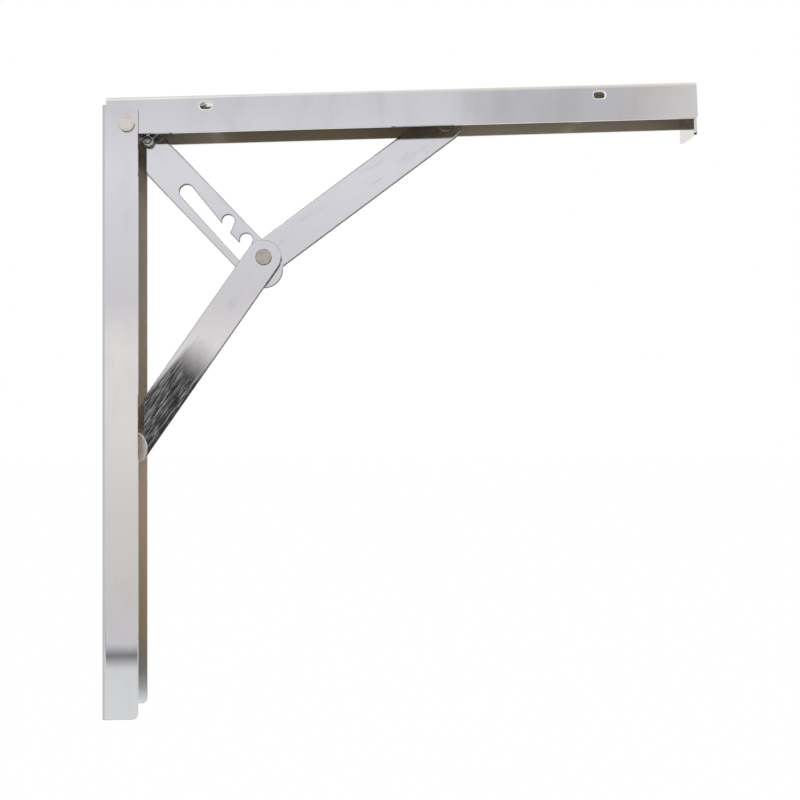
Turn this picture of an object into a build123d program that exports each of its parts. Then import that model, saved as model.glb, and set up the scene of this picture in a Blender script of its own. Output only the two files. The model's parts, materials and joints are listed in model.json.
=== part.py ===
"""Folding shelf bracket with a self-locking hook plate.

Millimetres. X runs out from the wall along the shelf, Z is up and Y is the width.
The wall face is X = 0, and the origin is the middle of the wall arm's screw holes.
The shelf arm folds down into the wall arm. Two links brace it, and a hook plate on
the hinge pin holds their elbow in one of three notches.
"""
from build123d import *
import math
import os

# sheet metal
SHEET = 1.5                  # thickness of both arms
BEND_RADIUS = 2.0            # outside radius of the arms' bends
FLANGE_CORNER = 2.5          # rounded corners of the wall arm's flanges
SIDE_GAP = 0.3               # between the nested flanges, on each side

# wall arm
WALL_LENGTH = 300.0
WALL_WIDTH = 30.0
WALL_DEPTH = 17.4
PIN_BELOW_TOP = 9.35         # hinge pin below the wall arm's top
PIN_OFF_WALL = 12.0          # hinge pin in front of the wall face

# shelf arm, measured from the hinge pin
SHELF_BEHIND = 9.7
SHELF_REACH = 285.6
SHELF_ABOVE = 14.1           # up to the face that carries the shelf
SHELF_BELOW = 4.3            # down to the flanges' free edges
OPEN_ANGLE = 92.6            # between the arms when locked
REAR_CLEARANCE = 0.6         # between the wall and the flanges' rounded heel
END_TAB_BELOW = 12.1         # the end tab's lower edge, below the pin
END_TAB_GAP = 0.5            # beside the tab, to each flange
END_TAB_CORNER = 1.5
SHELF_CORNER = 1.6           # flanges' lower front corners

# screw holes, the same in both arms
SCREW_HOLE_R = 2.75
SCREW_CENTRE = 155.0         # from the hinge pin to the middle of the holes
SCREW_SPAN_OUTER = 240.0
SCREW_SPAN_INNER = 100.0

# oval side holes of the shelf arm
OVAL_LENGTH = 5.8
OVAL_HEIGHT = 3.4
OVAL_BEVEL = 0.6
OVAL_BELOW_TOP = 5.4
OVAL_ALONG = (38.4, 235.4)

# linkage
LINK_LENGTH = 116.0
ELBOW_REACH = 91.1           # hinge pin to the links' elbow when locked
LINK_WIDTH = 17.4
LINK_SHEET = 3.0
PLATE_SHEET = 2.0            # the hook plate lies in the middle of the width
LAYER_GAP = 0.4              # between neighbouring links and plates

# rivets and pins
PIN_R = 2.5
RUN_GAP = 0.05               # radial, between a pin and what turns on it
HINGE_HEAD_R = 4.0
HINGE_HEAD_RISE = 1.5
ELBOW_SHANK_R = 3.0
ELBOW_HEAD_R = 4.05
ELBOW_HEAD_RISE = 0.8
FLUSH_HEAD_R = 4.0           # countersunk rivet ends
FLUSH_HEAD_DEPTH = 1.2
EAR_HEAD_R = 3.6             # countersunk end in the clevis ear
EAR_HEAD_DEPTH = 0.8
HEAD_EDGE = 0.3
WASHER_R = 5.0
ELBOW_WASHER = 0.5
TAIL_HEAD = 0.6
CLEARANCE = 0.1              # flat faces that turn past each other

# clevis on the wall arm
EAR_SHEET = 1.5
EAR_R = 8.6
CLEVIS_BASE = 1.5
CLEVIS_CORNER = 2.0
CLEVIS_HALF_HEIGHT = 16.0
CLEVIS_RIVET_R = 1.6
CLEVIS_RIVET_SPREAD = 11.8

# hinge stack
SPACER_R = 4.0
BUSH_R = 4.6
BUSH_COLLAR_R = 5.8
BUSH_COLLAR = 0.3

# hook plate, in its own axes: along from the hinge pin, across towards the shelf
PLATE_SKEW = 2.4             # plate's middle line under the line to the elbow
PLATE_R = 9.65
TIP_BEYOND_ELBOW = 3.85      # middle of the plate's rounded tip
NOTCH_R = 3.2
NOTCH_PITCH = 12.9
NOTCH_COUNT = 3
NOTCH_MOUTH = 1.6            # from a notch's middle back to the tooth that undercuts it
NOTCH_FLANK = 24.0           # angle at which the eased flank leaves a notch's round
FIRST_BARB_BACK = 1.95       # from the first notch's middle back to its barb
SLOT_START = 40.5
SLOT_START_R = 3.7
SLOT_START_DROP = 1.05
SLOT_LOW = 6.2               # lower edge of the slot at its far end
SLOT_END_R = 3.2
TOOTH_EDGE = 0.3             # height of the teeth's tips over the middle line
FIRST_BARB_EDGE = 0.7
TOOTH_BACK = 5.05            # from a notch's middle to the next tooth's rounded back

# lock spring
WIRE_R = 0.6
WIRE_SIDES = 8
COIL_R = 2.0                 # to the middle of the wire
COIL_TURNS = 1               # whole turns, before the stretch that parts the legs
COIL_PITCH = 1.25
COIL_RISE = 1.3              # coil's back end in front of the plate
STUD_AT = (8.6, 5.5)         # beyond and below the hinge pin
STUD_R = 1.25
STUD_CAP_R = 1.9
STUD_CAP = 0.6
LEG_ANGLE = 41.0
LEG_CLEARANCE = 0.3
SHORT_LEG = 9.0              # rests under the spacer

# places worked out from the sizes above
HINGE_Z = SCREW_CENTRE
WALL_TOP = HINGE_Z + PIN_BELOW_TOP
SHELF_WIDTH = WALL_WIDTH - 2 * (SHEET + SIDE_GAP)
SHELF_TILT = OPEN_ANGLE - 90
SHELF_INSIDE = SHELF_WIDTH / 2 - SHEET
HALF_ANGLE = math.radians(OPEN_ANGLE / 2)
# hinge pin to either arm's link pivot, so that the links meet at the elbow
ARM_PIVOT = ELBOW_REACH * math.cos(HALF_ANGLE) + math.sqrt(
    LINK_LENGTH ** 2 - (ELBOW_REACH * math.sin(HALF_ANGLE)) ** 2)
PLATE_ANGLE = OPEN_ANGLE / 2 - PLATE_SKEW - 90
HINGE = (PIN_OFF_WALL, HINGE_Z)
TILT = math.radians(SHELF_TILT)
WALL_PIVOT = (HINGE[0], HINGE[1] - ARM_PIVOT)
SHELF_PIVOT = (HINGE[0] + ARM_PIVOT * math.cos(TILT), HINGE[1] + ARM_PIVOT * math.sin(TILT))
ELBOW = (HINGE[0] + ELBOW_REACH * math.sin(HALF_ANGLE),
         HINGE[1] - ELBOW_REACH * math.cos(HALF_ANGLE))

# the elbow in the hook plate's own axes: the last notch's middle
ELBOW_ALONG = ELBOW_REACH * math.cos(math.radians(PLATE_SKEW))
NOTCH_RISE = ELBOW_REACH * math.sin(math.radians(PLATE_SKEW))

CLEVIS_RIVET_HEIGHTS = [WALL_PIVOT[1] + side * CLEVIS_RIVET_SPREAD for side in (-1, 1)]

# layers across the width, each a (near, far) pair
PLATE_LAYER = (-PLATE_SHEET / 2, PLATE_SHEET / 2)
LOWER_LAYER = (PLATE_LAYER[0] - LAYER_GAP - LINK_SHEET, PLATE_LAYER[0] - LAYER_GAP)
UPPER_LAYER = (PLATE_LAYER[1] + LAYER_GAP, PLATE_LAYER[1] + LAYER_GAP + LINK_SHEET)
NEAR_EAR = (LOWER_LAYER[0] - LAYER_GAP - EAR_SHEET, LOWER_LAYER[0] - LAYER_GAP)
FAR_EAR = (LOWER_LAYER[1] + LAYER_GAP, LOWER_LAYER[1] + LAYER_GAP + EAR_SHEET)
CLEVIS_MIDDLE = (NEAR_EAR[0] + FAR_EAR[1]) / 2


def across(profile, near, far):
    """A flat profile in X and Z, given thickness from near to far across the width."""
    return extrude(Plane.XZ.offset(-far) * profile, amount=far - near)


def disc(at, radius, near, far):
    return across(Pos(*at) * Circle(radius), near, far)


def ring(at, outer, inner, near, far):
    return disc(at, outer, near, far) - disc(at, inner, near, far)


def cone(at, near_r, far_r, near, far):
    """A countersink or a flush rivet end, round the width."""
    near_face = Plane.XZ.offset(-near) * Pos(*at) * Circle(near_r)
    far_face = Plane.XZ.offset(-far) * Pos(*at) * Circle(far_r)
    return loft([near_face, far_face])


def bar(start, end, half_width):
    """A flat bar with full-round ends."""
    return make_hull((Pos(*start) * Circle(half_width)).edges() + (Pos(*end) * Circle(half_width)).edges())


def channel(length, width, depth):
    """A folded channel along Z with its web on X = 0 and its flanges towards +X."""
    outer = Pos(depth / 2, 0, length / 2) * Box(depth, width, length)
    outer = fillet(outer.edges().filter_by(Axis.Z).group_by(Axis.X)[0], BEND_RADIUS)
    hollow = Pos(SHEET + depth / 2, 0, length / 2) * Box(depth, width - 2 * SHEET, length)
    hollow = fillet(hollow.edges().filter_by(Axis.Z).group_by(Axis.X)[0], BEND_RADIUS - SHEET)
    return outer - hollow


def screw_places():
    """Distances from the hinge pin to the four screw holes of an arm."""
    for span in (SCREW_SPAN_OUTER, SCREW_SPAN_INNER):
        yield SCREW_CENTRE - span / 2
        yield SCREW_CENTRE + span / 2


def web_holes(heights, radius, side=0.0):
    """Round holes through a web near X = 0, at heights along Z."""
    through = 2 * (2 * SHEET + CLEVIS_BASE)
    return [Pos(0, side, height) * Rot(0, 90, 0) * Cylinder(radius, through) for height in heights]


def make_wall_arm():
    arm = channel(WALL_LENGTH, WALL_WIDTH, WALL_DEPTH)
    free_corners = arm.edges().filter_by(Axis.Y).group_by(Axis.X)[-1]
    arm = fillet(free_corners, FLANGE_CORNER)
    bottom = WALL_TOP - WALL_LENGTH
    arm = Pos(0, 0, bottom) * arm
    arm -= web_holes([HINGE_Z - place for place in screw_places()], SCREW_HOLE_R)
    arm -= web_holes(CLEVIS_RIVET_HEIGHTS, CLEVIS_RIVET_R, CLEVIS_MIDDLE)
    return arm - disc(HINGE, PIN_R, -WALL_WIDTH, WALL_WIDTH)


def oval_cut(along, side):
    """An oval hole through one flange, bevelled on the outside."""
    height = SHELF_ABOVE - OVAL_BELOW_TOP
    face = SHELF_WIDTH / 2
    hole = across(Pos(along, height) * SlotOverall(OVAL_LENGTH, OVAL_HEIGHT), face - 2 * SHEET, face + SHEET)
    wide = Plane.XZ.offset(-face) * Pos(along, height) * SlotOverall(
        OVAL_LENGTH + 2 * OVAL_BEVEL, OVAL_HEIGHT + 2 * OVAL_BEVEL)
    narrow = Plane.XZ.offset(OVAL_BEVEL - face) * Pos(along, height) * SlotOverall(OVAL_LENGTH, OVAL_HEIGHT)
    cut = hole + loft([wide, narrow])
    return cut if side > 0 else mirror(cut, about=Plane.XZ)


def heel_cut():
    """What the rounded heel takes off the flanges, so that they swing clear of the wall."""
    heel_r = min(SHELF_BEHIND, PIN_OFF_WALL - SHEET - REAR_CLEARANCE)
    square = Pos(-SHELF_BEHIND, -SHELF_BEHIND / 2) * Rectangle(2 * SHELF_BEHIND, SHELF_BEHIND)
    return across(square - Circle(heel_r), -SHELF_WIDTH, SHELF_WIDTH)


def make_shelf_arm():
    length = SHELF_BEHIND + SHELF_REACH
    depth = SHELF_ABOVE + SHELF_BELOW
    arm = channel(length, SHELF_WIDTH, depth)
    front_corners = arm.edges().filter_by(Axis.Y).group_by(Axis.X)[-1].group_by(Axis.Z)[-1]
    arm = fillet(front_corners, SHELF_CORNER)
    arm -= web_holes([SHELF_BEHIND + place for place in screw_places()], SCREW_HOLE_R)
    arm = Pos(-SHELF_BEHIND, 0, SHELF_ABOVE) * Rot(0, 90, 0) * arm
    arm -= heel_cut()
    arm -= [oval_cut(along, side) for along in OVAL_ALONG for side in (-1, 1)]
    arm += make_end_tab()
    arm -= across(Circle(PIN_R + RUN_GAP), -SHELF_WIDTH, SHELF_WIDTH)
    arm -= disc((ARM_PIVOT, 0), PIN_R, 0, SHELF_WIDTH)
    return Pos(HINGE[0], 0, HINGE[1]) * Rot(0, -SHELF_TILT, 0) * arm


def make_end_tab():
    """The web's end, folded down across the arm's mouth."""
    tab_width = 2 * (SHELF_INSIDE - END_TAB_GAP)
    tab_height = SHELF_ABOVE - SHEET / 2 + END_TAB_BELOW
    tab = Pos(SHELF_REACH - SHEET / 2, 0, tab_height / 2 - END_TAB_BELOW) * Box(SHEET, tab_width, tab_height)
    return fillet(tab.edges().filter_by(Axis.X).group_by(Axis.Z)[0], END_TAB_CORNER)


def make_wall_clevis():
    """A folded bracket on the wall arm's web, with an ear on each side of the lower link."""
    x, z = WALL_PIVOT
    width = FAR_EAR[1] - NEAR_EAR[0]
    base = Pos(SHEET + CLEVIS_BASE / 2, CLEVIS_MIDDLE, z) * Box(
        CLEVIS_BASE, width, 2 * CLEVIS_HALF_HEIGHT)
    base = fillet(base.edges().filter_by(Axis.X), CLEVIS_CORNER)
    ear = Pos(x, z) * Circle(EAR_R) + Pos((SHEET + x) / 2, z) * Rectangle(x - SHEET, 2 * EAR_R)
    clevis = base + across(ear, *NEAR_EAR) + across(ear, *FAR_EAR)
    clevis -= disc(WALL_PIVOT, PIN_R, NEAR_EAR[0], FAR_EAR[1])
    clevis -= ear_countersink()
    return clevis - web_holes(CLEVIS_RIVET_HEIGHTS, CLEVIS_RIVET_R, CLEVIS_MIDDLE)


def ear_countersink():
    """The flared end of the wall link pin, in the far ear."""
    return cone(WALL_PIVOT, PIN_R, EAR_HEAD_R, FAR_EAR[1] - EAR_HEAD_DEPTH, FAR_EAR[1])


def make_clevis_rivets():
    """Two flush rivets that hold the clevis to the wall arm."""
    length = SHEET + CLEVIS_BASE
    shank = Pos(length / 2, CLEVIS_MIDDLE) * Rot(0, 90, 0) * Cylinder(CLEVIS_RIVET_R, length)
    lower, upper = [Pos(0, 0, height) * shank for height in CLEVIS_RIVET_HEIGHTS]
    return lower + upper


def rivet_head(at, radius, face, rise):
    """A round head standing towards the front from a face, with a broken edge."""
    head = disc(at, radius, face - rise, face)
    return chamfer(head.edges().group_by(Axis.Y)[0], HEAD_EDGE)


def make_wall_link_pin():
    pin = disc(WALL_PIVOT, PIN_R, NEAR_EAR[0], FAR_EAR[1])
    pin += rivet_head(WALL_PIVOT, HINGE_HEAD_R, NEAR_EAR[0], HINGE_HEAD_RISE)
    return pin + ear_countersink()


def make_hinge_pin():
    face = WALL_WIDTH / 2
    head = rivet_head(HINGE, HINGE_HEAD_R, -face, HINGE_HEAD_RISE)
    return disc(HINGE, PIN_R, -face, face) + head + mirror(head, about=Plane.XZ)


def make_hinge_spacer_front():
    back = PLATE_LAYER[0] - BUSH_COLLAR - 2 * CLEARANCE
    return ring(HINGE, SPACER_R, PIN_R + RUN_GAP, CLEARANCE - SHELF_INSIDE, back)


def make_hinge_spacer_back():
    front = PLATE_LAYER[1] + 2 * CLEARANCE
    return ring(HINGE, SPACER_R, PIN_R + RUN_GAP, front, SHELF_INSIDE - CLEARANCE)


def make_plate_bush():
    """A flanged bush on the hinge pin that carries the hook plate."""
    front = PLATE_LAYER[0] - BUSH_COLLAR - CLEARANCE
    body = disc(HINGE, BUSH_R, front, PLATE_LAYER[1] + CLEARANCE)
    collar = disc(HINGE, BUSH_COLLAR_R, front, PLATE_LAYER[0] - CLEARANCE)
    return body + collar - disc(HINGE, PIN_R + RUN_GAP, -WALL_WIDTH, WALL_WIDTH)


def plate_frame():
    """Turns the hook plate's own axes into the bracket's."""
    return Pos(HINGE[0], 0, HINGE[1]) * Rot(0, -PLATE_ANGLE, 0)


def notch(along):
    """A notch for the elbow pin, undercut behind its barb and eased towards the tip."""
    flank = math.radians(NOTCH_FLANK)
    flank_start = (along + NOTCH_R * math.cos(flank), NOTCH_RISE + NOTCH_R * math.sin(flank))
    mouth = Polyline((along - NOTCH_MOUTH, -SLOT_START_DROP), (along - NOTCH_MOUTH, NOTCH_RISE),
                     flank_start, (along + TOOTH_BACK, TOOTH_EDGE),
                     (along + TOOTH_BACK, -SLOT_START_DROP), close=True)
    return Pos(along, NOTCH_RISE) * Circle(NOTCH_R) + make_face(mouth)


def make_hook_plate():
    outline = bar((0, 0), (ELBOW_ALONG + TIP_BEYOND_ELBOW, 0), PLATE_R)
    first = ELBOW_ALONG - (NOTCH_COUNT - 1) * NOTCH_PITCH
    barb = first - FIRST_BARB_BACK
    end_middle = SLOT_END_R - SLOT_LOW
    slot_top = Pos(SLOT_START, -SLOT_START_DROP) * Circle(SLOT_START_R)
    slot_end = Pos(ELBOW_ALONG, end_middle) * Circle(SLOT_END_R)
    upper_start = SLOT_START_R - SLOT_START_DROP
    lane = make_face(Polyline(
        (SLOT_START, upper_start), (barb, FIRST_BARB_EDGE), (first + TOOTH_BACK, TOOTH_EDGE),
        (ELBOW_ALONG, TOOTH_EDGE), (ELBOW_ALONG, -SLOT_LOW),
        (SLOT_START, -SLOT_START_R - SLOT_START_DROP), close=True))
    cut = slot_top + slot_end + lane
    for index in range(NOTCH_COUNT):
        cut += notch(first + index * NOTCH_PITCH)
    plate = across(outline - cut - Circle(BUSH_R + RUN_GAP), *PLATE_LAYER)
    stud = Pos(*stud_in_plate()) * Circle(STUD_R)
    plate -= across(stud, *PLATE_LAYER)
    return plate_frame() * plate


def stud_in_plate():
    """The stud's place in the hook plate's own axes."""
    along, below = STUD_AT
    angle = math.radians(PLATE_ANGLE)
    return (along * math.cos(angle) - below * math.sin(angle),
            -along * math.sin(angle) - below * math.cos(angle))


def coil_turns():
    """Turns from the long leg's end of the coil to the short leg's, which passes just under the spacer."""
    past_spacer = COIL_R + WIRE_R + CLEARANCE + SPACER_R
    leaves_at = math.degrees(math.atan2(*STUD_AT) + math.asin(past_spacer / math.hypot(*STUD_AT)))
    return COIL_TURNS + (leaves_at - 90 - LEG_ANGLE) % 360 / 360


def make_spring_stud():
    at = (HINGE[0] + STUD_AT[0], HINGE[1] - STUD_AT[1])
    coil_length = coil_turns() * COIL_PITCH + 2 * WIRE_R
    front = PLATE_LAYER[0] - COIL_RISE - coil_length
    stud = disc(at, STUD_R, front, PLATE_LAYER[1])
    return stud + rivet_head(at, STUD_CAP_R, front, STUD_CAP)


def long_leg_length():
    """From the coil up to the underside of the shelf arm's web."""
    angle = math.radians(LEG_ANGLE)
    from_x = STUD_AT[0] - COIL_R * math.sin(angle)
    from_z = COIL_R * math.cos(angle) - STUD_AT[1]
    web = SHELF_ABOVE - SHEET - WIRE_R - LEG_CLEARANCE
    rise = web + from_x * math.sin(TILT) - from_z * math.cos(TILT)
    return rise / math.sin(angle - TILT)


def make_lock_spring():
    """A torsion spring round the stud: long leg under the shelf arm's web, short leg under the spacer."""
    turns = coil_turns()
    start = PLATE_LAYER[0] - COIL_RISE - WIRE_R
    coil = Helix(pitch=COIL_PITCH, height=turns * COIL_PITCH, radius=COIL_R, lefthand=True)
    coil = Rot(90, 0, 0) * Rot(0, 0, LEG_ANGLE + 90 + 360 * turns) * coil
    coil = Pos(HINGE[0] + STUD_AT[0], start, HINGE[1] - STUD_AT[1]) * coil
    long_leg = Line(coil @ 1, coil @ 1 + coil % 1 * long_leg_length())
    short_leg = Line(coil @ 0 - coil % 0 * SHORT_LEG, coil @ 0)
    path = Wire([short_leg, coil, long_leg])
    section = Plane(path @ 0, z_dir=path % 0) * RegularPolygon(WIRE_R, WIRE_SIDES)
    return sweep(section, path=path)


def make_lower_link():
    link = across(bar(WALL_PIVOT, ELBOW, LINK_WIDTH / 2), *LOWER_LAYER)
    link -= disc(WALL_PIVOT, PIN_R + RUN_GAP, *LOWER_LAYER)
    return link - flush_shank(ELBOW, ELBOW_SHANK_R, *LOWER_LAYER, flare_far=True)


def make_upper_link():
    link = across(bar(SHELF_PIVOT, ELBOW, LINK_WIDTH / 2), *UPPER_LAYER)
    link -= flush_shank(SHELF_PIVOT, PIN_R + RUN_GAP, *UPPER_LAYER, grow=RUN_GAP)
    return link - flush_shank(ELBOW, ELBOW_SHANK_R, *UPPER_LAYER)


def flush_shank(at, radius, near, far, grow=0.0, flare_far=False):
    """A shank whose one end is flared flush: the near end, or the far end."""
    flare = FLUSH_HEAD_R + grow
    shank = disc(at, radius, near, far)
    if flare_far:
        return shank + cone(at, radius, flare, far - FLUSH_HEAD_DEPTH, far)
    return shank + cone(at, flare, radius, near, near + FLUSH_HEAD_DEPTH)


def make_elbow_rivet_front():
    shank = flush_shank(ELBOW, ELBOW_SHANK_R, *LOWER_LAYER, flare_far=True)
    return shank + rivet_head(ELBOW, ELBOW_HEAD_R, LOWER_LAYER[0], ELBOW_HEAD_RISE)


def make_elbow_rivet_back():
    tail = UPPER_LAYER[1] + ELBOW_WASHER
    shank = flush_shank(ELBOW, ELBOW_SHANK_R, UPPER_LAYER[0], tail)
    return shank + disc(ELBOW, ELBOW_HEAD_R, tail, tail + TAIL_HEAD)


def make_elbow_washer():
    return ring(ELBOW, WASHER_R, ELBOW_SHANK_R, UPPER_LAYER[1], UPPER_LAYER[1] + ELBOW_WASHER)


def make_shelf_link_rivet():
    return flush_shank(SHELF_PIVOT, PIN_R, UPPER_LAYER[0], SHELF_WIDTH / 2)


def make_shelf_link_washer():
    return ring(SHELF_PIVOT, WASHER_R, PIN_R, UPPER_LAYER[1] + CLEARANCE, SHELF_INSIDE)


MAKERS = (make_wall_arm, make_shelf_arm, make_wall_clevis, make_clevis_rivets, make_wall_link_pin,
          make_hinge_pin, make_hinge_spacer_front, make_hinge_spacer_back, make_plate_bush,
          make_hook_plate, make_spring_stud, make_lock_spring, make_lower_link, make_upper_link,
          make_elbow_rivet_front, make_elbow_rivet_back, make_elbow_washer,
          make_shelf_link_rivet, make_shelf_link_washer)


def main():
    os.makedirs("parts", exist_ok=True)
    for maker in MAKERS:
        node = maker.__name__.removeprefix("make_")
        export_step(maker(), f"parts/{node}.step")


main()
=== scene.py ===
"""Looks of the folding shelf bracket: polished chrome sheet, ground links, turned rivets and a wire spring.

Metres, in the same frame as the CAD model: X runs out from the wall, Z is up and Y is the width,
with the near side towards -Y.
"""
import json
import math

import bmesh
import bpy
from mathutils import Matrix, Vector

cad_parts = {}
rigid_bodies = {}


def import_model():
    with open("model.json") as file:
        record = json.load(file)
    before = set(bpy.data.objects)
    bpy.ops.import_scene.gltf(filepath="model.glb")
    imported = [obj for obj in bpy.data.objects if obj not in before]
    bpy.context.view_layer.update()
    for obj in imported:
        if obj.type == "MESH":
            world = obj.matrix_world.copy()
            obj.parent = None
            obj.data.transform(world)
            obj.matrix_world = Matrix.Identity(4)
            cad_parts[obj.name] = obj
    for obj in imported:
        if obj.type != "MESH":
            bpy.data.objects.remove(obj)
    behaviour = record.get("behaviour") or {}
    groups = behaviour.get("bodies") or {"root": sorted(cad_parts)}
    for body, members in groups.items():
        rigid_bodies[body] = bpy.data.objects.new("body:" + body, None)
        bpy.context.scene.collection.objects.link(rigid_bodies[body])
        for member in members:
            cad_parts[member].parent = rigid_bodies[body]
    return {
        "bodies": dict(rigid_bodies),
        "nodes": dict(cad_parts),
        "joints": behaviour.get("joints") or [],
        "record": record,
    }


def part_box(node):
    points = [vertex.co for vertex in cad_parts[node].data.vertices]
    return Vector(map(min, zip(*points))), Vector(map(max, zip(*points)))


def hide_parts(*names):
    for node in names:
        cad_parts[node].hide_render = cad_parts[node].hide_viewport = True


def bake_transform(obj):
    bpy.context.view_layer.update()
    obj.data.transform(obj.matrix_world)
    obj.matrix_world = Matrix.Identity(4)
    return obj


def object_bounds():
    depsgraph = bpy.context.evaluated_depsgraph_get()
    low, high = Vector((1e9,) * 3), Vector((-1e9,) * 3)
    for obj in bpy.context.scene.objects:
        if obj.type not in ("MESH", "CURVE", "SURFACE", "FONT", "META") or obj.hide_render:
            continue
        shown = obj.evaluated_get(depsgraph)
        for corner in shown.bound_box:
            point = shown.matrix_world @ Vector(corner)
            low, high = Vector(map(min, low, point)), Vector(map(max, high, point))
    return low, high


MM = 0.001
X_AXIS, Z_AXIS = 0, 2

# camera
CAMERA_AT = (0.1090, -0.5543, 0.0204)
CAMERA_YAW = 3.9             # degrees towards the shelf's free end
CAMERA_LENS = 49.0

# studio
FLOOR_DROP = 0.20            # floor below the object
FLOOR_SIZE = 12.0
FLOOR_COLOR = (0.93, 0.93, 0.93)
FLOOR_WHITE = 0.96           # share of the floor that the camera sees as plain white
KEY_AT = (-0.8, -1.4, 1.7)
KEY_SIZE = 1.8
KEY_POWER = 2.5
FILL_AT = (1.6, -1.2, 1.2)
FILL_SIZE = 1.6
FILL_POWER = 1.5
MOST_BOUNCES = 16
GLOSSY_BOUNCES = 14          # the channels' insides reflect each other

# the studio as metal sees it in front of the object: height over distance, brightness, and its tint there
# from grey at -1 to warm at 1
FRONT_WALL = ((-0.290, 0.91, -1.0), (-0.262, 0.88, -1.0), (-0.243, 0.86, -1.0), (-0.237, 0.53, -0.5),
              (-0.231, 0.22, 0.0), (-0.225, 0.55, 0.0), (-0.220, 0.76, 0.2), (-0.180, 0.78, 0.8),
              (-0.100, 0.83, 1.0), (-0.020, 0.96, 1.0), (0.045, 0.99, 0.9), (0.090, 0.82, 0.3),
              (0.150, 0.87, 0.0), (0.210, 0.94, 0.0), (0.270, 0.83, 0.0))
COOL = (0.990, 0.998, 1.110)
WARM = (1.015, 0.990, 1.010)
GREY = (0.990, 1.020, 1.086)
# a duller place in front of the shelf arm's free end
DULL_PLACE = (0.222, -1.0, 0.281)
DULL_WIDTH = (1.2, 6.5)      # full within, gone beyond, degrees
DULL_LEVEL = 0.66
# a warmer stretch beyond the shelf arm's free end: sideways over distance, and its tint
WARM_STRETCH = (0.250, 0.290)
WARM_TINT = (1.0, 0.985, 0.920)
FRONT_FADE = (-0.35, -0.85)  # the front takes over from the white behind, in the direction's Y
LEFT_SIDE = (0.70, 0.73, 0.77)      # to the side, behind the wall
LEFT_FADE = (-0.45, -0.80)   # in the direction's X
DARK_SIDE = (0.040, 0.040, 0.042)   # below and to the side, beyond the shelf's free end
DARK_SLOPE = 0.45            # of the line that it lies under
DARK_FADE = (0.02, 0.42)     # below that line
SIDE_FADE = (0.55, 0.88)     # towards the front and the back, in the direction's Y
LEAST_DEPTH = 0.001          # keeps the divisions by depth from failing sideways

# lock spring, as the CAD has it
WIRE_R = 0.6 * MM
COIL_R = 2.0 * MM
COIL_TURNS = 1.9095
COIL_PITCH = 1.25 * MM
COIL_BACK = 1.9 * MM         # middle of the wire at the coil's back end, in front of the plate
LONG_LEG_ANGLE = 41.0
LONG_LEG = 25.79 * MM
SHORT_LEG = 9.0 * MM
COIL_STEPS = 36              # points to a turn
SHORT_LEG_STEPS = 6
LONG_LEG_STEPS = 24
WIRE_SIDES = 16
WIRE_END_ROUND = 0.30        # length of the ends' rounding, in wire radii
WIRE_END_R = 0.70            # and the radius left at the very end

# the lower link's painted dark reflection: a dark streaked stretch painted into its colour
DARK_REFLECTION_FROM = 0.48             # where it starts and is full, as shares of the way from the elbow
DARK_REFLECTION_TO = 0.70
STREAK_REACH = 16.0 * MM     # how far its streaks run out
UPPER_EDGE_FADE = (-8.4 * MM, -5.6 * MM)  # it fades along the bar's upper edge, from the middle line
UPPER_EDGE_SLANT = 0.10      # and less so further down
FLANGE_FADE_MARGIN = (1.0 * MM, 1.8 * MM)  # it fades beside the wall arm's flange

# oval side holes of the shelf arm, in its own axes from the hinge pin
OVAL_ALONG = (38.4 * MM, 235.4 * MM)
OVAL_UP = 8.7 * MM
OVAL_R = 1.7 * MM
OVAL_STRAIGHT = 2.4 * MM
OVAL_RIM = 0.75 * MM          # width of the pressed rim, painted bright as a highlight

# smears of polish, as noise from the first level to the second
HAZE = (0.45, 0.75)
POLISH = (0.35, 0.80)

# colours, linear
WHITE = (1.0, 1.0, 1.0)
CHROME = (0.715, 0.700, 0.675)
CHROME_HAZE = (0.665, 0.648, 0.620)
# painted reflections on the insides of the arms: the colour at each height in the wall arm and distance from
# the wall in the shelf arm stands in for what the insides reflect
WALL_INSIDE_REFLECTION = ((-0.135, (0.780, 0.780, 0.800)), (-0.128, (0.450, 0.460, 0.455)),
               (-0.117, (0.410, 0.385, 0.355)), (-0.100, (0.550, 0.465, 0.345)),
               (-0.020, (0.740, 0.640, 0.550)), (0.040, (0.620, 0.550, 0.465)),
               (0.100, (0.610, 0.540, 0.465)), (0.125, (0.680, 0.605, 0.530)))
SHELF_INSIDE_REFLECTION = ((0.050, (0.500, 0.455, 0.385)), (0.065, (0.400, 0.340, 0.250)),
                (0.137, (0.400, 0.340, 0.250)), (0.180, (0.520, 0.462, 0.390)),
                (0.250, (0.500, 0.440, 0.365)))
CLEVIS_FACE = (0.590, 0.530, 0.500)
# painted highlight on the clevis's rounded rim
CLEVIS_RIM_HIGHLIGHT = (0.940, 0.910, 0.870)
INNER_DULL = 0.45            # share of the inside's finish that scatters light as paint does
INNER_ROUGHER = 0.10         # added to its roughness
CLEVIS_DULL = 0.55           # share that scatters on the clevis
RIM_DULL = 0.75              # on the oval holes' rims
SPRING_DULL = 0.50           # and on the wire
CUT_EDGE = (0.260, 0.250, 0.240)
PLATE_TURN = 0.8             # radians, of the smears along the hook plate
GRAZING_TINT = (0.04, 0.04, 0.04)  # a bar seen edge on shows its cut edges dark
# painted dark reflection on the lower link, and the lighter streaks of its grain within it
LINK_DARK_REFLECTION = (0.030, 0.031, 0.031)
LINK_REFLECTION_STREAK = (0.300, 0.300, 0.305)
LINK_SCUFF = (0.470, 0.475, 0.480)
NICKEL = (0.745, 0.695, 0.605)
ELBOW_NICKEL = (0.500, 0.450, 0.385)
STUD_STEEL = (0.330, 0.320, 0.305)
ZINC = (0.680, 0.665, 0.640)
# painted highlight on the oval holes' rims
RIM_HIGHLIGHT = (0.960, 0.955, 0.950)
SPRING_STEEL = (0.900, 0.905, 0.905)


def load_frame():
    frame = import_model()
    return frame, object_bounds()


# ---- node helpers ----

FIRST_COLOR, SECOND_COLOR = 6, 7     # a Mix node's inputs for colours
MIXED_COLOR = 2


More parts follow.
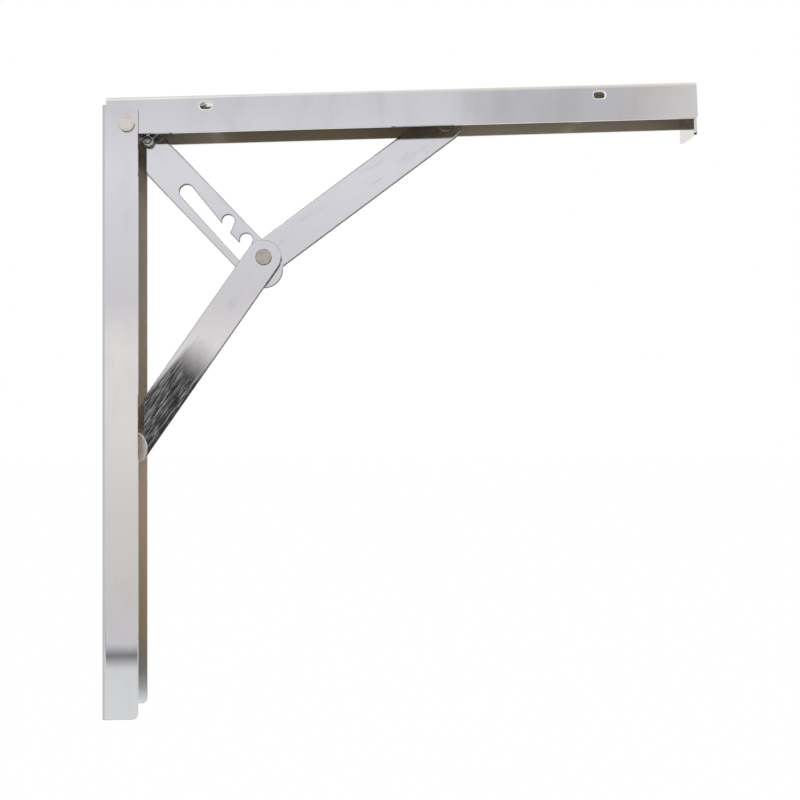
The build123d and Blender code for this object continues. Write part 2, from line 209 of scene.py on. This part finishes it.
class Tree:
    """A node tree, and short calls to add nodes to it."""

    def __init__(self, tree):
        self.tree = tree

    def node(self, kind, **settings):
        made = self.tree.nodes.new(kind)
        for key, value in settings.items():
            setattr(made, key, value)
        return made

    def link(self, source, target):
        self.tree.links.new(source, target)

    def feed(self, socket, value):
        """Sets a socket to a number or a colour, or links it."""
        if isinstance(value, tuple):
            socket.default_value = (*value, 1.0)
        elif isinstance(value, (int, float)):
            socket.default_value = value
        else:
            self.link(value, socket)

    def ramp(self, value, low, high, to_low=0.0, to_high=1.0):
        """Eases a value between two limits."""
        made = self.node("ShaderNodeMapRange", interpolation_type="SMOOTHSTEP")
        limits = {"From Min": low, "From Max": high, "To Min": to_low, "To Max": to_high}
        for name, number in limits.items():
            made.inputs[name].default_value = number
        self.link(value, made.inputs["Value"])
        return made.outputs["Result"]

    def mix(self, factor, first, second):
        """Mixes two colours, each a colour or a socket."""
        made = self.node("ShaderNodeMix", data_type="RGBA")
        self.feed(made.inputs["Factor"], factor)
        self.feed(made.inputs[FIRST_COLOR], first)
        self.feed(made.inputs[SECOND_COLOR], second)
        return made.outputs[MIXED_COLOR]

    def multiply(self, first, second):
        """Multiplies two colours."""
        made = self.node("ShaderNodeMix", data_type="RGBA", blend_type="MULTIPLY")
        self.feed(made.inputs["Factor"], 1.0)
        self.feed(made.inputs[FIRST_COLOR], first)
        self.feed(made.inputs[SECOND_COLOR], second)
        return made.outputs[MIXED_COLOR]

    def math(self, operation, first, second=0.0):
        made = self.node("ShaderNodeMath", operation=operation)
        self.feed(made.inputs[0], first)
        self.feed(made.inputs[1], second)
        return made.outputs[0]

    def stops(self, value, stops):
        """A colour that follows a value through stops of (value, colour)."""
        low, high = stops[0][0], stops[-1][0]
        share = self.math("DIVIDE", self.math("SUBTRACT", value, low), high - low)
        made = self.node("ShaderNodeValToRGB")
        self.link(share, made.inputs["Fac"])
        elements = made.color_ramp.elements
        while len(elements) < len(stops):
            elements.new(0.5)
        for element, (place, color) in zip(elements, stops):
            element.position = (place - low) / (high - low)
            element.color = (*color, 1.0)
        return made.outputs["Color"]

    def parts(self, vector):
        split = self.node("ShaderNodeSeparateXYZ")
        self.link(vector, split.inputs["Vector"])
        return split.outputs["X"], split.outputs["Y"], split.outputs["Z"]


class Shader(Tree):
    """A material with a Principled shader."""

    def __init__(self, name, color, roughness, metallic=1.0):
        self.material = bpy.data.materials.new(name)
        self.material.use_nodes = True
        super().__init__(self.material.node_tree)
        self.bsdf = self.tree.nodes["Principled BSDF"]
        self.bsdf.inputs["Metallic"].default_value = metallic
        self.bsdf.inputs["Base Color"].default_value = (*color, 1.0)
        self.bsdf.inputs["Roughness"].default_value = roughness

    def place(self, turn=(0.0, 0.0, 0.0), scale=(1.0, 1.0, 1.0), at=(0.0, 0.0, 0.0)):
        """Coordinates in the object's frame, moved, turned and scaled."""
        coordinates = self.node("ShaderNodeTexCoord")
        mapping = self.node("ShaderNodeMapping", vector_type="TEXTURE")
        mapping.inputs["Location"].default_value = at
        mapping.inputs["Rotation"].default_value = turn
        mapping.inputs["Scale"].default_value = scale
        self.link(coordinates.outputs["Object"], mapping.inputs["Vector"])
        return mapping.outputs["Vector"]

    def noise(self, vector, scale, detail=2.0, roughness=0.5):
        made = self.node("ShaderNodeTexNoise")
        made.inputs["Scale"].default_value = scale
        made.inputs["Detail"].default_value = detail
        made.inputs["Roughness"].default_value = roughness
        self.link(vector, made.inputs["Vector"])
        return made.outputs["Fac"]

    def cut_face(self):
        """0 on a flat piece's cut edges and 1 on its faces."""
        geometry = self.node("ShaderNodeNewGeometry")
        facing = self.math("ABSOLUTE", self.parts(geometry.outputs["True Normal"])[1])
        return self.ramp(facing, 0.35, 0.80)

    def near_face(self):
        """1 on a flat piece's near face and 0 on its back."""
        geometry = self.node("ShaderNodeNewGeometry")
        return self.ramp(self.parts(geometry.outputs["True Normal"])[1], -0.3, -0.8)

    def inner_face(self):
        """1 on a flange's inner face, which looks at the other flange, and 0 elsewhere."""
        geometry = self.node("ShaderNodeNewGeometry")
        coordinates = self.node("ShaderNodeTexCoord")
        facing = self.parts(geometry.outputs["True Normal"])[1]
        side = self.math("SIGN", self.parts(coordinates.outputs["Object"])[1])
        return self.ramp(self.math("MULTIPLY", facing, side), -0.5, -0.9)

    def oval_rim(self, hinge, tilt):
        """1 on the rims of the shelf arm's oval holes and 0 elsewhere."""
        along, _, up = self.parts(self.place(turn=(0.0, -tilt, 0.0), at=tuple(hinge)))
        gaps = [self.math("ABSOLUTE", self.math("SUBTRACT", along, centre)) for centre in OVAL_ALONG]
        gap = self.math("SUBTRACT", self.math("MINIMUM", *gaps), OVAL_STRAIGHT / 2)
        across = self.math("POWER", self.math("MAXIMUM", gap, 0.0), 2.0)
        height = self.math("POWER", self.math("ABSOLUTE", self.math("SUBTRACT", up, OVAL_UP)), 2.0)
        distance = self.math("SQRT", self.math("ADD", across, height))
        return self.ramp(distance, OVAL_R + OVAL_RIM, OVAL_R + 0.6 * OVAL_RIM)

    def dark_at_grazing(self):
        self.bsdf.inputs["Specular Tint"].default_value = (*GRAZING_TINT, 1.0)

    def soft_edges(self, radius):
        bevel = self.node("ShaderNodeBevel", samples=6)
        bevel.inputs["Radius"].default_value = radius
        self.normal = bevel.outputs["Normal"]
        self.link(self.normal, self.bsdf.inputs["Normal"])

    def bump(self, height, depth, strength=1.0):
        made = self.node("ShaderNodeBump")
        made.inputs["Strength"].default_value = strength
        made.inputs["Distance"].default_value = depth
        self.link(height, made.inputs["Height"])
        self.link(self.normal, made.inputs["Normal"])
        self.normal = made.outputs["Normal"]
        self.link(self.normal, self.bsdf.inputs["Normal"])


# ---- materials ----

def chrome_sheet(name, axis, reflection_stops, hinge=None, tilt=0.0):
    """Bright chrome on folded sheet, faintly wavy, with smeared polish and a duller inside that carries a
    painted reflection.

    With a hinge given, the rims of the oval holes get a painted highlight.
    """
    shader = Shader(name, CHROME, 0.03)
    shader.soft_edges(0.30 * MM)
    shader.bump(shader.noise(shader.place(), scale=28.0, detail=1.0), 0.020 * MM)
    smear = shader.noise(shader.place(scale=(1.0, 1.0, 3.0)), scale=60.0, detail=4.0, roughness=0.6)
    face = shader.mix(shader.ramp(smear, *HAZE), CHROME, CHROME_HAZE)
    inside = shader.inner_face()
    # painted reflection: the inside's colour changes along the arm in place of what it reflects
    inner_reflection = shader.stops(shader.parts(shader.place())[axis], reflection_stops)
    color = shader.mix(inside, face, inner_reflection)
    dullness = shader.math("MULTIPLY", inside, INNER_DULL)
    if hinge is not None:
        rim = shader.oval_rim(hinge, tilt)
        # painted highlight: the oval holes' rims are painted bright
        color = shader.mix(rim, color, RIM_HIGHLIGHT)
        dullness = shader.math("MAXIMUM", dullness, shader.math("MULTIPLY", rim, RIM_DULL))
    shader.link(color, shader.bsdf.inputs["Base Color"])
    polish = shader.ramp(smear, *POLISH, to_low=0.015, to_high=0.045)
    roughness = shader.math("ADD", polish, shader.math("MULTIPLY", inside, INNER_ROUGHER))
    shader.link(roughness, shader.bsdf.inputs["Roughness"])
    shader.link(shader.math("SUBTRACT", 1.0, dullness), shader.bsdf.inputs["Metallic"])
    return shader.material


def clevis_sheet(name):
    """Duller chrome with a painted highlight on its rounded rim."""
    shader = Shader(name, CLEVIS_FACE, 0.28, 1.0 - CLEVIS_DULL)
    shader.soft_edges(1.0 * MM)
    facing = shader.math("ABSOLUTE", shader.parts(shader.normal)[1])
    blotches = shader.noise(shader.place(), scale=300.0, detail=3.0)
    face = shader.mix(shader.ramp(blotches, 0.4, 0.7), CLEVIS_FACE, shade(CLEVIS_FACE, 0.82))
    # painted highlight: where the rounded rim turns away from the face, its colour is painted bright
    color = shader.mix(shader.ramp(facing, 0.86, 0.985), CLEVIS_RIM_HIGHLIGHT, face)
    shader.link(color, shader.bsdf.inputs["Base Color"])
    return shader.material


def chrome_plate(name):
    """Bright chrome on a stamped plate, with dark cut edges."""
    shader = Shader(name, CHROME, 0.03)
    shader.dark_at_grazing()
    shader.soft_edges(1.4 * MM)
    shader.bump(shader.noise(shader.place(), scale=40.0, detail=1.0), 0.015 * MM)
    lengthwise = shader.place(turn=(0.0, PLATE_TURN, 0.0), scale=(4.0, 1.0, 1.0))
    smear = shader.noise(lengthwise, scale=90.0, detail=4.0, roughness=0.6)
    face = shader.mix(shader.ramp(smear, *HAZE), CHROME, CHROME_HAZE)
    shader.link(shader.mix(shader.cut_face(), CUT_EDGE, face), shader.bsdf.inputs["Base Color"])
    shader.link(shader.ramp(smear, *POLISH, to_low=0.02, to_high=0.06), shader.bsdf.inputs["Roughness"])
    return shader.material


def chrome_link(name, start, end, dark_reflection_from=None, dark_reflection_to=None):
    """Chrome on a flat bar that was ground lengthwise, with dark cut edges and, where given, a dark streaked
    stretch painted in as a reflection.
    """
    shader = Shader(name, CHROME, 0.06)
    shader.dark_at_grazing()
    shader.soft_edges(1.3 * MM)
    run = end - start
    turn = -math.atan2(run.z, run.x)
    along = shader.place(turn=(0.0, turn, 0.0), at=tuple(start))
    drawn = shader.place(turn=(0.0, turn, 0.0), scale=(18.0, 1.0, 1.0), at=tuple(start))
    grain = shader.noise(drawn, scale=2300.0, detail=4.0, roughness=0.65)
    smeared = shader.place(turn=(0.0, turn, 0.0), scale=(3.0, 1.0, 1.0), at=tuple(start))
    smudge = shader.noise(smeared, scale=160.0, detail=3.0, roughness=0.6)
    shader.bump(grain, 0.0010 * MM)
    scuffs = shader.math("MULTIPLY", shader.ramp(smudge, 0.50, 0.75), shader.ramp(grain, 0.40, 0.65))
    face = shader.mix(shader.math("MULTIPLY", scuffs, 0.6), CHROME, LINK_SCUFF)
    # painted reflection: a dark streaked stretch on the near face, painted into the colour in place of a dark
    # reflection
    if dark_reflection_from is not None:
        distance = shader.math("ADD", shader.parts(along)[0], shader.math("MULTIPLY", grain, STREAK_REACH))
        darker_reflection = shader.math("MULTIPLY", shader.ramp(distance, dark_reflection_from, dark_reflection_to), shader.near_face())
        beside = shader.parts(shader.place(at=(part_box("wall_arm")[1].x, 0.0, 0.0)))[0]
        darker_reflection = shader.math("MULTIPLY", darker_reflection, shader.ramp(beside, *FLANGE_FADE_MARGIN))
        slant = shader.math("MULTIPLY", shader.math("SUBTRACT", distance, dark_reflection_to), UPPER_EDGE_SLANT)
        under_edge = shader.math("ADD", shader.parts(along)[2], slant)
        darker_reflection = shader.math("MULTIPLY", darker_reflection, shader.ramp(under_edge, *UPPER_EDGE_FADE))
        streaked_reflection = shader.mix(shader.ramp(grain, 0.44, 0.66), LINK_DARK_REFLECTION, LINK_REFLECTION_STREAK)
        face = shader.mix(darker_reflection, face, streaked_reflection)
    shader.link(shader.mix(shader.cut_face(), CUT_EDGE, face), shader.bsdf.inputs["Base Color"])
    shader.link(shader.ramp(grain, 0.3, 0.8, to_low=0.05, to_high=0.12), shader.bsdf.inputs["Roughness"])
    return shader.material


def turned_head(name, color, centre, roughness=0.22, pitch=0.42 * MM, depth=0.004 * MM):
    """A nickel rivet with fine rings from the lathe round its axis."""
    shader = Shader(name, color, roughness)
    shader.soft_edges(0.25 * MM)
    vector = shader.place(at=tuple(centre), scale=(1.0, 1e6, 1.0))
    length = shader.node("ShaderNodeVectorMath", operation="LENGTH")
    shader.link(vector, length.inputs[0])
    rings = shader.math("SINE", shader.math("MULTIPLY", length.outputs["Value"], 2 * math.pi / pitch))
    shader.bump(rings, depth, 0.6)
    stain = shader.noise(shader.place(), scale=420.0, detail=3.0)
    stained = shader.mix(shader.ramp(stain, 0.4, 0.75), color, shade(color, 0.78))
    shader.link(stained, shader.bsdf.inputs["Base Color"])
    return shader.material


def zinc(name):
    """Plain zinc plating on bushes, spacers and washers."""
    shader = Shader(name, ZINC, 0.30)
    shader.soft_edges(0.15 * MM)
    patch = shader.noise(shader.place(), scale=500.0, detail=3.0)
    shader.link(shader.mix(patch, ZINC, shade(ZINC, 0.8)), shader.bsdf.inputs["Base Color"])
    shader.bump(patch, 0.004 * MM)
    return shader.material


def spring_wire(name):
    """Bright drawn wire with faint draw marks."""
    shader = Shader(name, SPRING_STEEL, 0.22, 1.0 - SPRING_DULL)
    shader.soft_edges(0.10 * MM)
    marks = shader.noise(shader.place(scale=(1.0, 4.0, 1.0)), scale=900.0, detail=2.0)
    worn = shader.mix(marks, SPRING_STEEL, shade(SPRING_STEEL, 0.75))
    shader.link(worn, shader.bsdf.inputs["Base Color"])
    shader.bump(marks, 0.002 * MM)
    return shader.material


def shade(color, share):
    return tuple(share * part for part in color)


def paint(obj, material):
    for slot in obj.material_slots:
        slot.material = material


def middle(node):
    low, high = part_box(node)
    return (low + high) / 2


def paint_all(nodes):
    """Gives each CAD node its own finish."""
    elbow = middle("elbow_rivet_front")
    wall_pivot = middle("wall_link_pin")
    shelf_pivot = middle("shelf_link_rivet")
    paint(nodes["wall_arm"], chrome_sheet("chromed_wall_sheet", Z_AXIS, WALL_INSIDE_REFLECTION))
    hinge = middle("hinge_pin")
    run = shelf_pivot - hinge
    shelf_sheet = chrome_sheet("chromed_shelf_sheet", X_AXIS, SHELF_INSIDE_REFLECTION, hinge, math.atan2(run.z, run.x))
    paint(nodes["shelf_arm"], shelf_sheet)
    paint(nodes["hook_plate"], chrome_plate("chromed_plate"))
    paint(nodes["wall_clevis"], clevis_sheet("chromed_clevis"))
    length = (elbow - wall_pivot).length
    lower = chrome_link("chromed_lower_link", elbow, wall_pivot, DARK_REFLECTION_FROM * length, DARK_REFLECTION_TO * length)
    upper = chrome_link("chromed_upper_link", shelf_pivot, elbow)
    paint(nodes["lower_link"], lower)
    paint(nodes["upper_link"], upper)
    rivets = {"hinge_pin": NICKEL, "wall_link_pin": NICKEL, "shelf_link_rivet": NICKEL,
              "clevis_rivets": NICKEL, "spring_stud": STUD_STEEL, "elbow_rivet_front": ELBOW_NICKEL,
              "elbow_rivet_back": ELBOW_NICKEL}
    for name, color in rivets.items():
        paint(nodes[name], turned_head(f"nickel_{name}", color, middle(name)))
    plating = zinc("zinc_steel")
    for name in ("hinge_spacer_front", "hinge_spacer_back", "shelf_link_washer", "elbow_washer",
                 "plate_bush"):
        paint(nodes[name], plating)


# ---- lock spring ----

def spring_path(stud, back):
    """The wire's middle line: short leg, left-handed coil round the stud and long leg to the shelf's web."""
    drop = COIL_PITCH / (2 * math.pi * COIL_R)
    last = math.radians(LONG_LEG_ANGLE + 90)
    first = last + 2 * math.pi * COIL_TURNS

    def on_coil(angle):
        forward = (first - angle) / (2 * math.pi) * COIL_PITCH
        return Vector((stud.x + COIL_R * math.cos(angle), back - forward, stud.z + COIL_R * math.sin(angle)))

    def heading(angle):
        return Vector((math.sin(angle), -drop, -math.cos(angle))).normalized()

    steps = int(COIL_TURNS * COIL_STEPS)
    coil = [on_coil(first + (last - first) * step / steps) for step in range(steps + 1)]
    short = [coil[0] - heading(first) * SHORT_LEG * (1 - step / SHORT_LEG_STEPS)
             for step in range(SHORT_LEG_STEPS)]
    long = [coil[-1] + heading(last) * LONG_LEG * (step + 1) / LONG_LEG_STEPS
            for step in range(LONG_LEG_STEPS)]
    return short + coil + long


def tube(points, radius, sides):
    """A closed round wire along a line of points, with its ends slightly rounded."""
    mesh = bmesh.new()
    rings = []
    side = Vector((0.0, 1.0, 0.0))
    for index, point in enumerate(points):
        ahead = (points[min(index + 1, len(points) - 1)] - points[max(index - 1, 0)]).normalized()
        side = (side - ahead * side.dot(ahead)).normalized()
        other = ahead.cross(side)
        at_end = index in (0, len(points) - 1)
        offsets = ((0.0, WIRE_END_R), (WIRE_END_ROUND, 1.0)) if at_end else ((0.0, 1.0),)
        inward = ahead if index == 0 else -ahead
        made = []
        for depth, share in offsets:
            middle_point = point + inward * radius * depth
            turns = [2 * math.pi * step / sides for step in range(sides)]
            made.append([mesh.verts.new(middle_point + (side * math.cos(turn) + other * math.sin(turn))
                                        * radius * share) for turn in turns])
        rings += made if index == 0 else made[::-1]
    for first, second in zip(rings, rings[1:]):
        for step in range(sides):
            after = (step + 1) % sides
            mesh.faces.new((first[step], first[after], second[after], second[step])).smooth = True
    mesh.faces.new(rings[0][::-1])
    mesh.faces.new(rings[-1])
    bmesh.ops.recalc_face_normals(mesh, faces=mesh.faces)
    return mesh


def add_spring():
    """The wire spring, made as one fixed mesh that takes the CAD spring's place."""
    stud = middle("spring_stud")
    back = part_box("hook_plate")[0].y - COIL_BACK
    points = spring_path(stud, back)
    wire = tube(points, WIRE_R, WIRE_SIDES)
    mesh = bpy.data.meshes.new("lock_spring_wire")
    wire.to_mesh(mesh)
    wire.free()
    mesh.materials.append(spring_wire("spring_wire"))
    piece = bpy.data.objects.new("lock_spring_wire", mesh)
    bpy.context.scene.collection.objects.link(piece)
    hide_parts("lock_spring")
    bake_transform(piece)


# ---- studio ----

def add_camera():
    data = bpy.data.cameras.new("camera")
    data.lens = CAMERA_LENS
    data.sensor_width = 36.0
    data.clip_start = 0.01
    camera = bpy.data.objects.new("camera", data)
    camera.location = CAMERA_AT
    camera.rotation_euler = (math.pi / 2, 0.0, -math.radians(CAMERA_YAW))
    bpy.context.scene.collection.objects.link(camera)
    bpy.context.scene.camera = camera


def add_panel(name, at, towards, size, power):
    """A soft square lamp."""
    data = bpy.data.lights.new(name, "AREA")
    data.shape = "RECTANGLE"
    data.size = size
    data.size_y = size
    data.energy = power
    lamp = bpy.data.objects.new(name, data)
    lamp.location = at
    aim = Vector(towards) - Vector(at)
    lamp.rotation_euler = aim.to_track_quat("-Z", "Y").to_euler()
    bpy.context.scene.collection.objects.link(lamp)


def front_wall(sky, direction):
    """Brightness and tint of the studio's front by height."""
    depth = sky.math("MAXIMUM", sky.math("MULTIPLY", sky.parts(direction)[1], -1.0), LEAST_DEPTH)
    stops = []
    for height, level, warmth in FRONT_WALL:
        other = WARM if warmth > 0 else GREY
        tint = [cool + (part - cool) * abs(warmth) for cool, part in zip(COOL, other)]
        stops.append((height, tuple(level * part for part in tint)))
    return sky.stops(sky.math("DIVIDE", sky.parts(direction)[2], depth), stops)


def add_world():
    """White to the camera and behind the object; metal also sees the studio's darker places."""
    world = bpy.data.worlds.new("studio")
    bpy.context.scene.world = world
    world.use_nodes = True
    sky = Tree(world.node_tree)
    world.node_tree.nodes.clear()
    direction = sky.node("ShaderNodeTexCoord").outputs["Generated"]
    x, y, z = sky.parts(direction)
    color = sky.mix(sky.ramp(y, *FRONT_FADE), WHITE, front_wall(sky, direction))
    near = sky.node("ShaderNodeVectorMath", operation="DOT_PRODUCT")
    sky.link(direction, near.inputs[0])
    near.inputs[1].default_value = Vector(DULL_PLACE).normalized()
    full, gone = (math.cos(math.radians(angle)) for angle in DULL_WIDTH)
    darker_reflection = tuple(DULL_LEVEL * part for part in COOL)
    color = sky.mix(sky.ramp(near.outputs["Value"], gone, full), color, darker_reflection)
    beside = sky.math("DIVIDE", x, sky.math("MAXIMUM", sky.math("MULTIPLY", y, -1.0), LEAST_DEPTH))
    tint = sky.mix(sky.ramp(beside, *WARM_STRETCH), WHITE, WARM_TINT)
    color = sky.multiply(color, tint)
    sideways = sky.ramp(sky.math("ABSOLUTE", y), *SIDE_FADE, to_low=1.0, to_high=0.0)
    color = sky.mix(sky.ramp(x, *LEFT_FADE), color, LEFT_SIDE)
    below = sky.ramp(sky.math("SUBTRACT", sky.math("MULTIPLY", x, DARK_SLOPE), z), *DARK_FADE)
    color = sky.mix(sky.math("MULTIPLY", sideways, below), color, DARK_SIDE)
    rays = sky.node("ShaderNodeLightPath")
    metal = sky.math("MAXIMUM", rays.outputs["Is Glossy Ray"], rays.outputs["Is Transmission Ray"])
    background = sky.node("ShaderNodeBackground")
    sky.link(sky.mix(metal, WHITE, color), background.inputs["Color"])
    output = sky.node("ShaderNodeOutputWorld")
    sky.link(background.outputs["Background"], output.inputs["Surface"])


def add_floor(cad_box):
    low, high = cad_box
    size = FLOOR_SIZE / 2
    mesh = bpy.data.meshes.new("floor")
    level = low[2] - FLOOR_DROP
    mesh.from_pydata([(-size, -size, level), (size, -size, level), (size, size, level), (-size, size, level)],
                     [], [(0, 1, 2, 3)])
    floor = bpy.data.objects.new("floor", mesh)
    bpy.context.scene.collection.objects.link(floor)
    material = bpy.data.materials.new("floor_white")
    material.use_nodes = True
    material.node_tree.nodes.clear()
    paper = Tree(material.node_tree)
    diffuse = paper.node("ShaderNodeBsdfDiffuse")
    diffuse.inputs["Color"].default_value = (*FLOOR_COLOR, 1.0)
    white = paper.node("ShaderNodeEmission")
    seen = paper.node("ShaderNodeLightPath").outputs["Is Camera Ray"]
    mixed = paper.node("ShaderNodeMixShader")
    paper.link(paper.math("MULTIPLY", seen, FLOOR_WHITE), mixed.inputs[0])
    paper.link(diffuse.outputs["BSDF"], mixed.inputs[1])
    paper.link(white.outputs["Emission"], mixed.inputs[2])
    output = paper.node("ShaderNodeOutputMaterial")
    paper.link(mixed.outputs["Shader"], output.inputs["Surface"])
    mesh.materials.append(material)
    floor.visible_glossy = False


def main():
    frame, cad_box = load_frame()
    paint_all(frame["nodes"])
    add_spring()
    add_camera()
    add_world()
    add_floor(cad_box)
    centre = (Vector(cad_box[0]) + Vector(cad_box[1])) / 2
    add_panel("key", KEY_AT, centre, KEY_SIZE, KEY_POWER)
    add_panel("fill", FILL_AT, centre, FILL_SIZE, FILL_POWER)
    scene = bpy.context.scene
    scene.cycles.max_bounces = MOST_BOUNCES
    scene.cycles.glossy_bounces = GLOSSY_BOUNCES
    scene.view_settings.view_transform = "Standard"


main()
